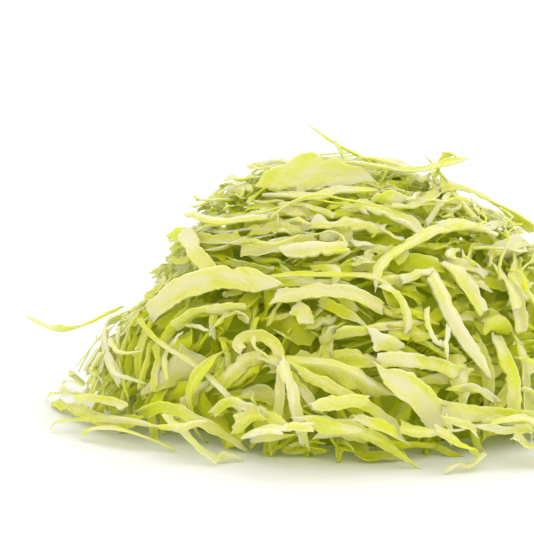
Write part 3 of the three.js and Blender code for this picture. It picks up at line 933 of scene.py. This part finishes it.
def growFill(packedMap):
    rng = np.random.default_rng(packedLook["seed"])
    made = {tone: [] for tone in leafFinishes}
    placed = 0
    for k in range(packedLook["bundles"]):
        deep = k < 0.4 * packedLook["bundles"]
        look = dict(packedLook, broad=1.2 if deep else 1)
        if k % 3 == 2:
            look.update(shortest=7, longest=16, hanging=16, lift=0.3)
        spot = emptySpot(rng, packedMap, 8)
        if k % 6 == 3:
            spot = (rng.uniform(0, 360), rng.uniform(0, 7))
        placed += layBundle(
            rng, packedMap, spot, "inner" if deep else "outer", 0.2, made, look,
            lambda laid, rise, wide: rise.mean() < -0.8 and rise.max() < 2,
        )
    print("packed shreds laid", placed)
    return made


makeCore()
packedMap = GrowthMap(packedLook["coreScale"])
makePackedPieces("packed", growFill(packedMap))

# The loose shreds that lie on the heap, each one replacing its own solid.

backShreds = {
    "count": 14,
    "firstAzimuth": -38,
    "azimuthStep": 17.5,
    "lowest": 14,
    "highest": 72,
    "spread": 0.618,
    "halfTurn": 24,
    "rise": (16, -12, 4),
    "width": (5, 3.4, 6.5, 4.2),
    "thick": (1.4, 1.1, 1.8),
    "tone": ("pale", "rib", "leaf", "rib", "heart"),
}


def backRoute(i):
    look = backShreds
    azimuth = look["firstAzimuth"] + i * look["azimuthStep"]
    middle = look["lowest"] + (look["highest"] - look["lowest"]) * ((i * look["spread"]) % 1)
    turn = look["halfTurn"] / math.cos(math.radians(min(middle, 60)))
    tilt = look["rise"][i % 3] / 2
    return [
        (azimuth - turn, max(4, middle - tilt)),
        (azimuth - turn / 3, middle + 3),
        (azimuth + turn / 3, middle + 2),
        (azimuth + turn, max(4, middle + tilt)),
    ]


# name, tone, width, thickness, the way it runs as (right, up) seen from the front, and its own cut and curl
frontShreds = [
    ("big_leaf", "heart", 13, 0.9, [(-70, 33), (-62, 36), (-54, 38)],
     {"cup": 0.2, "tip": 0.8, "front": 0.6}),
    ("lower_slab", "pale", 7.5, 1.4, [(-26, 36), (-12, 36), (0, 37), (8, 37)], {"tip": [0.9, 0.5]}),
    ("lower_ramp", "pale", 7, 1.4, [(-24, 32), (-9, 31), (2, 27), (12, 24)], {"tip": [0.8, 0.4]}),
    ("finger", "pale", 4, 2, [(-22, 27), (-18, 22), (-13.5, 18)], {"tip": 0.8}),
    ("edge_strip", "pale", 3.8, 1.4, [(-19, 28), (-10, 23), (0, 18), (10, 14), (16, 11)],
     {"tip": [0.9, 0.6]}),
    ("diagonal_bar", "pale", 5.5, 1.8, [(-48, 26), (-41, 33), (-33, 39)],
     {"tip": 0.95, "skew": (0.3, 0.3)}),
    ("green_tongue", "leaf", 5.5, 1, [(25, 25), (31, 19), (37, 13)], {"tip": 0.15}),
    ("upright_strip", "pale", 4.8, 1.4, [(50, 46), (52, 35), (53, 25), (53, 12)],
     {"tip": 1.0, "front": 0.5}),
    ("tall_leaf", "pale", 6, 1, [(57, 76), (57, 62), (58, 46)], {"tip": 0.9}),
    ("right_band", "pale", 5, 1.2, [(48, 75), (56, 77), (64, 79)], {"tip": 0.9}),
    ("right_arc", "heart", 6, 1.2, [(30, 98), (40, 96), (50, 91), (58, 86), (63, 79)], {"tip": 0.9}),
    ("top_flat", "rib", 4.5, 1.6, [(0, 105.5), (10, 106), (20, 104.5)], {"tip": 0.9}),
    ("green_shoulder", "leaf", 5, 1, [(-63, 74), (-56, 78), (-48, 80), (-40, 80)], {"tip": [0.5, 1.0]}),
    ("pale_shoulder", "pale", 4.4, 1.2, [(-54, 84), (-48, 87), (-40, 89), (-33, 90)], {"tip": 0.9}),
    ("step_strip", "rib", 5, 1.6, [(-16, 86), (-5, 86), (3, 86), (10, 83.5)],
     {"tip": [0.7, 1.0], "ruffle": 0.4}),
    ("knob_strip", "pale", 5, 1.6, [(-41, 76), (-34, 76), (-26, 78), (-14, 79)], {"tip": [1.0, 0.7]}),
    ("upper_prong", "rib", 6, 1.8, [(-58, 77), (-54, 71), (-50, 66)],
     {"tip": [0.5, 1.0], "skew": (0.3, 0.4), "front": 0.6}),
    ("long_green", "leaf", 3, 1, [(-34, 63), (-20, 65), (-10, 64.5), (-2, 63)], {"tip": 0.7}),
    ("hook_strip", "pale", 3.4, 1.2, [(-16, 70), (-10, 70), (-6.5, 67), (-6, 62)], {"tip": 0.8}),
    ("upright_block", "rib", 6, 2, [(-21, 57), (-19, 53), (-18, 49)], {"tip": 1.0}),
    ("square_block", "rib", 7, 2.2, [(6, 42), (11, 41), (16, 40)], {"tip": 1.0, "skew": (0.5, 0.5)}),
    ("plank", "rib", 5, 1.8, [(8, 33), (20, 33), (32, 33), (40, 31)], {"tip": 1.0, "skew": (0.2, 0.5)}),
    ("big_diagonal", "rib", 9, 1.6, [(8, 27), (16, 22), (24, 16), (30, 10)],
     {"green": (0.1, 0.45), "tip": [0.6, 1.0], "skew": (0.6, 0.3), "front": 0.4}),
    ("crumpled_strip", "pale", 5, 1.4, [(28, 13), (36, 12), (45, 12.5), (52, 10), (58, 7)],
     {"ruffle": 0.5, "tip": 0.9}),
    ("central_band", "rib", 4.6, 1.6, [(-28, 57), (-20, 58.5), (-10, 58.5), (0, 57), (10, 55)],
     {"tip": 0.9, "ruffle": 0.35, "front": 0.4}),
    ("wide_band", "rib", 8.4, 1.6, [(-74, 54), (-66, 57), (-56, 61), (-47, 63.5), (-38, 62.5), (-29, 60)],
     {"green": (0.02, 0.4), "tip": [1.0, 0.6], "skew": (0.2, 0.9), "cup": 0.15, "front": 0.7}),
    ("diagonal_thread", "pale", 1.8, 1, [(-76, 52), (-70, 45), (-62, 37), (-55, 31), (-47, 24), (-40, 17)],
     {}),
    ("green_blade", "leaf", 3.6, 0.9, [(-46, 41), (-48, 34), (-52, 24), (-56, 14)], {"tip": 0.1}),
    ("curl_strand", "pale", 3.6, 1.2,
     [(-39, 37), (-42, 41), (-39, 45), (-33, 45), (-28, 40), (-25.5, 32), (-24.5, 24), (-25, 16), (-29, 9)],
     {"twist": 0.1}),
    ("club_strand", "rib", 3.6, 1.4, [(-24, 31), (-21, 22), (-19, 14), (-18, 5)], {"tip": 0.9}),
    ("white_stick", "rib", 5.5, 2.4, [(-26, 73), (-15, 74), (-3, 75.5)],
     {"tip": [0.5, 1.0], "skew": (0.3, 0.1), "sway": 0.1}),
    ("pale_slab", "pale", 7, 1.4, [(-1, 93), (8, 91), (16, 87), (23, 82)], {"tip": [0.6, 0.8]}),
    ("wave_strip", "rib", 4.5, 1.6, [(-31, 97), (-22, 96), (-14, 95.5), (-7, 98.5), (0, 98), (8, 98)],
     {"tip": [0.6, 0.3]}),
    ("long_white", "rib", 2.6, 1.4, [(-57, 80), (-49, 82), (-40, 85), (-31, 87)],
     {"tip": [0.4, 1.0], "skew": (0.2, 0.2), "sway": 0.1}),
    ("rib_end", "rib", 5.5, 2, [(29, 83), (37, 83.5), (43, 81.5), (49, 78)],
     {"tip": [0.8, 1.0], "skew": (0.2, 0.2), "stain": (0.86, 0.6, 0.7)}),
    ("long_arm", "rib", 3.5, 1.4, [(31, 81), (22, 77.5), (14, 74), (9, 70), (7, 63)], {"tip": [0.9, 0.6]}),
    ("long_diagonal", "rib", 4.6, 2, [(27, 69), (30, 60), (34, 50), (38, 43), (43, 36), (47, 29)],
     {"tip": [0.8, 0.3], "sway": 0.15}),
    ("fork_strip", "rib", 5, 1.8, [(32, 73), (37, 66), (41, 58), (45, 52)],
     {"tip": [0.9, 0.7], "ruffle": 0.35}),
    ("low_strap", "leaf", 4.5, 1.2, [(-77, 18), (-66, 17), (-56, 13), (-48, 9), (-42, 5)], {"tip": 0.7}),
    ("table_leaf", "leaf", 4, 1, [(-107, 22), (-97, 17.5), (-86, 14.5), (-72, 13)], {"tip": [0.6, 0.8]}),
    ("table_strip", "pale", 4.5, 1.2, [(-18, 8), (-5, 7), (8, 4), (22, -1)], {"tip": 0.1}),
]

# these stand clear of the heap, so their ways are (right, back, up) from the origin
standingShreds = [
    ("rolled_leaf", "pale", 13, 1.2,
     [(-28, -21, 73.5), (-27, -21, 81), (-21, -20, 87), (-12, -19, 87.5), (-3, -18, 84), (4, -17, 80.5)],
     {"cup": 0.35, "tip": [1.0, 0.3], "skew": (0.1, -0.4), "twist": 0.1, "ruffle": 0.1, "front": 0.8}),
    ("sweeping_strip", "pale", 3.2, 1,
     [(-8, -12, 85.5), (4, -16, 83.5), (14, -17, 82.5), (24, -14, 84.5), (32, -11, 87.5), (40, -8, 90.5)],
     {}),
    ("upright_sliver", "pale", 2.4, 1, [(6, 3, 83.5), (-3, 6, 87.5), (-10, 8, 92.5), (-17, 9, 100.5)],
     {"tip": 0.2}),
    ("stray_strand", "leaf", 2.4, 1,
     [(-84, 1, 33.5), (-90, -1, 28.5), (-98, -2, 25.5), (-106, -2, 25), (-113, -2, 27.5), (-120, -3, 31.5)],
     {"tip": 0.15}),
]

# finer shreds seen between those, laid before and after them: tone, width, thickness and way, as above
underShreds = [
    ("heart", 5.0, 1.0, [(-62, 75), (-48, 80), (-30, 85), (-15, 88)]),
    ("rib", 2.0, 1.0, [(-58, 83), (-46, 85), (-30, 88), (-11, 90.5)]),
    ("pale", 5.0, 1.0, [(-52, 88), (-40, 91), (-25, 93)]),
    ("leaf", 2.2, 0.8, [(-63, 72), (-52, 77), (-38, 82)]),
    ("leaf", 3.0, 0.8, [(-65, 68), (-60, 72), (-54, 77)]),
    ("leaf", 3.0, 0.8, [(-68, 61), (-60, 64), (-52, 67)]),
    ("leaf", 4.5, 0.8, [(-38, 84), (-28, 85), (-20, 83)]),
    ("leaf", 4.0, 0.8, [(-48, 70), (-40, 66), (-30, 64)]),
    ("leaf", 3.0, 0.8, [(-46, 74), (-38, 72), (-30, 70)]),
    ("pale", 3.0, 1.0, [(-27, 74), (-24, 69), (-19, 64)]),
    ("pale", 2.6, 0.9, [(-20, 70), (-16, 66), (-11, 62)]),
    ("leaf", 5.0, 0.8, [(4, 79), (10, 78), (16, 77)]),
    ("heart", 4.0, 0.9, [(-2, 74), (6, 71), (14, 66)]),
    ("leaf", 4.0, 0.8, [(0, 68), (8, 66), (18, 66)]),
    ("pale", 4.0, 1.0, [(-10, 66), (-4, 60), (0, 55)]),
    ("leaf", 4.0, 0.8, [(-10, 54), (-9, 46), (-11, 38), (-11, 33)]),
    ("leaf", 1.4, 0.8, [(-27, 60), (-29, 55), (-31, 50)]),
    ("rib", 2.5, 1.0, [(-44, 59), (-42, 55), (-39, 51)]),
    ("pale", 4.0, 1.2, [(-13, 58), (-4, 54), (4, 49)]),
    ("pale", 4.0, 1.0, [(-6, 46), (8, 48), (24, 51)]),
    ("leaf", 6.0, 0.8, [(12, 45), (19, 47), (25, 47)]),
    ("leaf", 4.0, 0.8, [(14, 54), (22, 56), (27, 53)]),
    ("pale", 3.0, 1.2, [(13, 29), (24, 30), (35, 30)]),
    ("pale", 5.0, 1.2, [(17, 26), (26, 24)]),
    ("heart", 9.0, 1.0, [(-11, 12), (-4, 13), (4, 12)]),
    ("heart", 5.0, 1.0, [(36, 52), (44, 54), (52, 52)]),
    ("pale", 4.0, 1.0, [(44, 46), (46, 36), (47, 24), (48, 12)]),
    ("heart", 4.5, 1.0, [(58, 48), (59, 36), (60, 24), (61, 10)]),
    ("heart", 6.0, 1.0, [(36, 40), (36, 30), (38, 20)]),
    ("rib", 6.0, 1.2, [(34, 74), (42, 71), (48, 68)]),
    ("pale", 5.0, 1.0, [(60, 74), (60, 67), (60, 60)]),
    ("pale", 3.0, 1.2, [(42, 90), (50, 86), (57, 81)]),
    ("pale", 4.0, 1.0, [(50, 76), (57, 77), (63, 78)]),
    ("heart", 6.0, 0.9, [(-44, 24), (-35, 26), (-25, 25)]),
    ("heart", 5.0, 0.9, [(-62, 20), (-57, 26), (-53, 29)]),
    ("pale", 2.5, 1.0, [(-49, 58), (-51, 52), (-51, 45)]),
    ("leaf", 2.0, 0.8, [(-48, 46), (-46, 40), (-46, 34)]),
    ("leaf", 4.0, 0.9, [(-48, 25), (-40, 31), (-32, 38)]),
    ("pale", 2.0, 1.0, [(-94, 47), (-93, 36), (-93, 25)]),
    ("pale", 2.0, 1.0, [(-90, 50), (-91, 36), (-91, 22)]),
    ("pale", 1.8, 1.0, [(-86, 50), (-84, 36), (-80, 22)]),
    ("leaf", 1.8, 0.8, [(-82, 50), (-84, 40), (-85, 30)]),
    ("pale", 2.4, 1.0, [(-98, 44), (-96, 36), (-90, 30)]),
    ("leaf", 2.0, 0.8, [(-75, 45), (-74, 36), (-76, 26)]),
    ("heart", 3.0, 1.0, [(-72, 44), (-70, 36), (-70, 26)]),
    ("pale", 2.0, 1.0, [(-66, 46), (-67, 36), (-64, 28)]),
]

overShreds = [
    ("rib", 1.6, 0.9, [(-86, 34), (-80, 28), (-74, 28)]),
    ("rib", 2.0, 1.0, [(-88, 44), (-82, 38), (-77, 40)]),
    ("rib", 2.4, 1.0, [(-4, 92), (1, 91), (4, 88)]),
    ("rib", 3.4, 1.0, [(-1, 80), (2.5, 79.5), (6, 79)]),
    ("rib", 2.0, 1.0, [(26, 87), (30, 92), (34, 95.5)]),
    ("pale", 1.6, 0.8, [(-30, 64), (-10, 63), (12, 60)]),
    ("pale", 2.5, 1.0, [(9, 59), (15, 55), (18, 51), (18, 46)]),
    ("rib", 1.8, 1.0, [(26, 56), (25.5, 47), (27, 41), (29.5, 38), (31.5, 41), (32, 46)]),
    ("rib", 1.6, 1.0, [(29, 38), (29.6, 36), (30, 33)]),
    ("rib", 4.5, 1.2, [(50, 70), (53, 61), (55, 52)]),
    ("pale", 2.0, 1.0, [(53, 64), (58, 55), (64, 45)]),
    ("leaf", 2.0, 0.8, [(55, 68), (57, 62), (57, 55)]),
    ("pale", 2.0, 1.0, [(55, 35), (60, 33), (63, 28)]),
    ("pale", 2.0, 1.0, [(57, 25), (60, 24), (63, 19)]),
    ("pale", 3.0, 1.0, [(31, 24), (40, 24), (48, 20)]),
    ("pale", 1.6, 0.8, [(-35, 44), (-34, 39), (-30, 34)]),
    ("pale", 1.6, 0.9, [(44, 10), (55, 7), (65, 3)]),
    ("leaf", 2.0, 0.8, [(28, 11), (29, 7), (30, 3)]),
    ("pale", 4.0, 1.0, [(-38, 9), (-30, 6), (-22, 7)]),
    ("heart", 4.0, 1.0, [(-32, 14), (-26, 9), (-20, 4)]),
    ("pale", 5.0, 1.0, [(-14, 6), (-6, 4), (3, 5)]),
    ("heart", 4.0, 1.0, [(0, 9), (8, 5), (16, 4)]),
    ("pale", 4.0, 1.0, [(14, 7), (22, 4), (30, 5)]),
    ("rib", 3.0, 1.4, [(36, 7), (45, 4), (52, 5)]),
    ("heart", 4.0, 1.0, [(48, 3), (56, 2), (64, 4)]),
    ("pale", 3.0, 1.0, [(24, 4), (34, 1), (44, 2)]),
    ("pale", 2.4, 1.0, [(50, 8), (58, 3), (63, 0)]),
]

# Fine ones that stand clear, as (right, back, up) from the origin.
standingScraps = [
    ("leaf", 3.6, 0.8, [(28, -4, 84), (31, -5, 89), (33.5, -6, 94.5), (36, -6, 91)]),
    ("pale", 1.4, 0.8, [(34, -6, 86), (30, -5, 90), (26, -4, 95)]),
    ("pale", 2.6, 0.8, [(-2, -8, 84), (-5, -7, 90), (-8, -5, 96.5)]),
    ("pale", 4.4, 0.9, [(-34, -8, 77), (-41, -8, 78), (-47, -9, 83.5)]),
    ("rib", 1.6, 0.8, [(-24, -6, 86), (-29, -7, 87), (-33, -8, 89.5)]),
    ("pale", 1.6, 0.8, [(-44, -12, 75), (-52, -12, 73), (-56, -13, 74), (-58, -13, 78)]),
    ("rib", 4.5, 1.2, [(2, -2, 84), (10, -2, 86.5), (20, -3, 85)]),
]

looseMap = GrowthMap()
looseRng = np.random.default_rng(5)
detailMade = {tone: [] for tone in leafFinishes}


def layDetails(table, grown, sink):
    for tone, width, thick, route in table:
        knots = [bareSurface(fromFront(spot)[None])[0][0] for spot in route]
        laid = layShred(grown, knots, width, thick, looseRng.normal(0, 0.3), stiffness=3, sink=sink)
        grown.raiseTo(laid["top"])
        detailMade[tone].append(shapeShred(templates["detail"], laid, width, thick, tone, looseRng))


# Turns a laid shred part of the way towards the front, about its own middle line.
def turnToFront(laid, share):
    along = unit(np.cross(laid["facing"], laid["side"]))
    front = -np.array(backWay)
    turned = unit(laid["facing"] * (1 - share) + (front - along * dot(along, front)[:, None]) * share)
    return dict(laid, facing=turned, side=np.cross(along, turned))


def makeLoose(name, tone, width, thick, knots, own, free=False):
    laid = layShred(looseMap, knots, width, thick, free=free)
    looseMap.raiseTo(laid["top"])
    if "front" in own:
        laid = turnToFront(laid, own["front"])
    shaped = shapeShred(templates["fine"], laid, width, thick, tone, looseRng, own)
    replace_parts(makeTonePiece(name + "_strip", [shaped], tone), name)


for i in range(backShreds["count"]):
    look = backShreds
    knots = [bareSurface(fromOrigin(spot)[None])[0][0] for spot in backRoute(i)]
    tone, width, thick = look["tone"][i % 5], look["width"][i % 4], look["thick"][i % 3]
    makeLoose(f"back_shred_{i + 1:02d}", tone, width, thick, knots, {})
underMap = GrowthMap()
layDetails(underShreds, underMap, 2.0)
for name, tone, width, thick, route, own in frontShreds:
    knots = [bareSurface(fromFront(spot)[None])[0][0] for spot in route]
    makeLoose(name, tone, width, thick, knots, own)
for name, tone, width, thick, route, own in standingShreds:
    makeLoose(name, tone, width, thick, [np.array(spot, float) for spot in route], own, free=True)
layDetails(overShreds, looseMap, 0.5)
for tone, width, thick, route in standingScraps:
    laid = layShred(looseMap, [np.array(spot, float) for spot in route], width, thick, free=True)
    detailMade[tone].append(shapeShred(templates["detail"], laid, width, thick, tone, looseRng))
makePackedPieces("detail", detailMade, parts=1)
print("loose shreds laid")

# The shreds between them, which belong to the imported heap's outer layer.

betweenLook = {
    "bundles": 1300,
    "seed": 29,
    "hideAtMost": 0.3,
    "proud": 2.8,
    "shortest": 9,
    "longest": 40,
    "hanging": 28,
    "onEdge": 0.25,
    "bundle": (0.35, 0.3, 0.2, 0.15),
    "sink": (0.6, 2.2),
    "lift": 2.0,
}


onTop = GrowthMap()
onTop.distance = np.maximum(looseMap.distance, packedMap.distance)
underShown = underMap.distance > bare.distance + 0.5
onTop.distance = np.maximum(onTop.distance, np.where(underShown, underMap.distance, 0))


# The steep left side above the low lump, which keeps clear of shreds that stand proud of it.
def inWaist(laid):
    middle = unit(laid["points"][len(laid["points"]) // 2])
    return middle @ unit(np.array((-0.8, -0.15, 0.55))) > 0.94


def growBetween():
    rng = np.random.default_rng(betweenLook["seed"])
    made = {tone: [] for tone in leafFinishes}
    heroRise = looseMap.distance - bare.distance

    def stays(laid, rise, wide):
        if inWaist(laid) and rise.mean() > 0.3:
            return False
        covered = (heroRise[onTop.cell(unit(laid["points"] - centre))] > 0.5).mean()
        if covered > (betweenLook["hideAtMost"] if wide > 1.6 else 0.5):
            return False
        return rise.mean() < betweenLook["proud"] and rise.max() < betweenLook["proud"] + 4

    placed = 0
    for k in range(betweenLook["bundles"]):
        look = dict(betweenLook)
        if k % 2:
            look.update(shortest=6, longest=14, hanging=14, lift=0.5)
        placed += layBundle(rng, onTop, emptySpot(rng, onTop, 5), "outer", 0.4, made, look, stays)
    print("shreds laid between", placed)
    return made


makePackedPieces("outer", growBetween())

# Threads on top, and scraps that fell on the table in front.

threadLook = {
    "bundles": 110,
    "seed": 41,
    "shortest": 12,
    "longest": 44,
    "hanging": 30,
    "onEdge": 0.3,
    "bundle": (0.7, 0.3, 0, 0),
    "sink": (0.0, 0.6),
    "lift": 2.0,
}


def growThreads():
    rng = np.random.default_rng(threadLook["seed"])
    made = {tone: [] for tone in leafFinishes}
    for _ in range(threadLook["bundles"]):
        spot = (rng.uniform(0, 360), math.degrees(math.asin(rng.uniform(0.0, 1.0))))
        look = dict(threadLook, broad=rng.uniform(0.22, 0.4))
        layBundle(
            rng, onTop, spot, "outer", 0, made, look,
            lambda laid, rise, wide: rise.max() < 8 and not inWaist(laid),
        )
    return made


makePackedPieces("threads", growThreads(), parts=1)

# tone, width, thickness, and the way it lies as (right, up) seen from the front
scraps = [
    ("pale", 3.2, 1.2, [(-46, 13), (-41, 16), (-33, 13), (-28, 9)]),
    ("leaf", 5, 0.8, [(-36, 5), (-32, 7), (-27, 8)]),
    ("rib", 4, 2.2, [(-48, 1.5), (-45, 2), (-42, 1.5)]),
    ("rib", 3.6, 1.8, [(-31, 2), (-26, 2.5), (-21, 2)]),
    ("rib", 3, 1.8, [(-20, 2), (-16, 2.5), (-12, 3)]),
    ("rib", 2, 1.2, [(32, -3), (36, -1.5), (40, -2), (43, 1)]),
    ("pale", 2, 1, [(-108, 12), (-98, 12.5), (-88, 12), (-75, 11), (-62, 9)]),
    ("leaf", 1.4, 0.8, [(-111, 23), (-103, 22), (-95, 24)]),
    ("pale", 1.6, 0.8, [(-96, 29), (-101, 28), (-104, 25)]),
    ("heart", 2.4, 1, [(-97, 9), (-88, 9.5), (-76, 8), (-64, 5)]),
    ("pale", 2.6, 1, [(-58, 10), (-53, 5), (-49, 0)]),
    ("rib", 3.4, 1.4, [(-93, 18), (-86, 19), (-80, 19), (-76, 16)]),
    ("heart", 3.4, 0.9, [(-60, 6), (-51, 5), (-44, 7)]),
    ("pale", 4.4, 1.2, [(-12, 9), (-4, 12), (4, 13)]),
    ("pale", 2.4, 1, [(40, 6), (50, 5), (60, 2)]),
    ("heart", 3, 0.8, [(26, 8), (32, 5), (36, 3)]),
]


def layScraps():
    rng = np.random.default_rng(7)
    made = {tone: [] for tone in leafFinishes}
    for tone, width, thick, route in scraps:
        knots = [bareSurface(fromFront(spot)[None])[0][0] for spot in route]
        laid = layShred(onTop, knots, width, thick, rng.normal(0, 0.1), stiffness=3)
        onTop.raiseTo(laid["top"])
        made[tone].append(shapeShred(templates["middle"], laid, width, thick, tone, rng))
    return made


for tone, shreds in layScraps().items():
    makeTonePiece(f"scraps_{tone}", shreds, tone)
print("threads and scraps laid")
